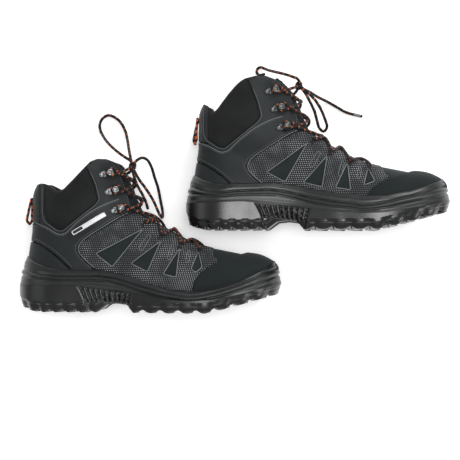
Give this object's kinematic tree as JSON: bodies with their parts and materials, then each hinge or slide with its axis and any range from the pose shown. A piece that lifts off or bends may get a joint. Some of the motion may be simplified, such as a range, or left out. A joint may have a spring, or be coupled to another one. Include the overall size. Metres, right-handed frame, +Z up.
{
  "type": "hiking boots",
  "caption": "Pair of mid-cut lace-up hiking boots lying on their sides, with lugged soles, a perforated cage over the vamp, lace hooks, tied laces and a cord pull loop at each heel.",
  "frame": {"origin": "on the surface that the boots lie on, under the middle of the pair's outline without the free laces", "axes": "+X from the heels to the toes, +Y from the soles to the collars, +Z up off the surface; the right boot lies on its inner side and the left boot on its outer side"},
  "size_m": [0.5088, 0.2974, 0.1073],
  "materials": {
    "rubber": "matte",
    "foam": "satin",
    "steel": "brushed",
    "board": "matte",
    "lining_fabric": "matte",
    "stiffener": "matte",
    "vamp_fabric": "matte",
    "softshell": "matte",
    "leather": "satin",
    "cage": "matte",
    "suede": "nubuck",
    "label": "satin",
    "lace": "matte",
    "gunmetal": "polished"
  },
  "bodies": {
    "right_boot": {"right_outsole": "rubber", "right_midsole": "foam", "right_shank": "steel", "right_lasting_board": "board", "right_footbed": "lining_fabric", "right_lining": "lining_fabric", "right_toe_puff": "stiffener", "right_heel_counter": "stiffener", "right_vamp": "vamp_fabric", "right_cuff": "softshell", "right_quarter_outer": "leather", "right_quarter_inner": "leather", "right_cage_outer": "cage", "right_cage_inner": "cage", "right_toe_cap": "suede", "right_heel_patch": "leather", "right_backstay": "leather", "right_label": "label", "right_tongue": "vamp_fabric", "right_lacing": "lace", "right_hook_outer_1": "gunmetal", "right_hook_inner_1": "gunmetal", "right_hook_outer_2": "gunmetal", "right_hook_inner_2": "gunmetal", "right_hook_outer_3": "gunmetal", "right_hook_inner_3": "gunmetal", "right_lace_loop_a": "lace", "right_lace_loop_b": "lace", "right_lace_end": "lace"},
    "right_loop": {"right_heel_loop": "lace"},
    "left_boot": {"left_outsole": "rubber", "left_midsole": "foam", "left_shank": "steel", "left_lasting_board": "board", "left_footbed": "lining_fabric", "left_lining": "lining_fabric", "left_toe_puff": "stiffener", "left_heel_counter": "stiffener", "left_vamp": "vamp_fabric", "left_cuff": "softshell", "left_quarter_outer": "leather", "left_quarter_inner": "leather", "left_cage_outer": "cage", "left_cage_inner": "cage", "left_toe_cap": "suede", "left_heel_patch": "leather", "left_backstay": "leather", "left_label": "label", "left_tongue": "vamp_fabric", "left_lacing": "lace", "left_hook_outer_1": "gunmetal", "left_hook_inner_1": "gunmetal", "left_hook_outer_2": "gunmetal", "left_hook_inner_2": "gunmetal", "left_hook_outer_3": "gunmetal", "left_hook_inner_3": "gunmetal", "left_lace_loop_a": "lace", "left_lace_loop_b": "lace", "left_lace_end": "lace"},
    "left_loop": {"left_heel_loop": "lace"}
  },
  "joints": [
    {"name": "right_heel_loop_swing", "type": "hinge", "parent": "right_boot", "child": "right_loop", "pos_m": [-0.2404, -0.00983, 0.03668], "axis": [0.0633, -0.0065, -0.998], "range_deg": [0, 120]},
    {"name": "left_boot_lift", "type": "slide", "parent": "right_boot", "child": "left_boot", "axis": [0, 0, 1], "range_m": [0, 0.25]},
    {"name": "left_heel_loop_swing", "type": "hinge", "parent": "left_boot", "child": "left_loop", "pos_m": [-0.04216, 0.08603, 0.0355], "axis": [0.0823, -0.0273, -0.9962], "range_deg": [0, 120]}
  ]
}
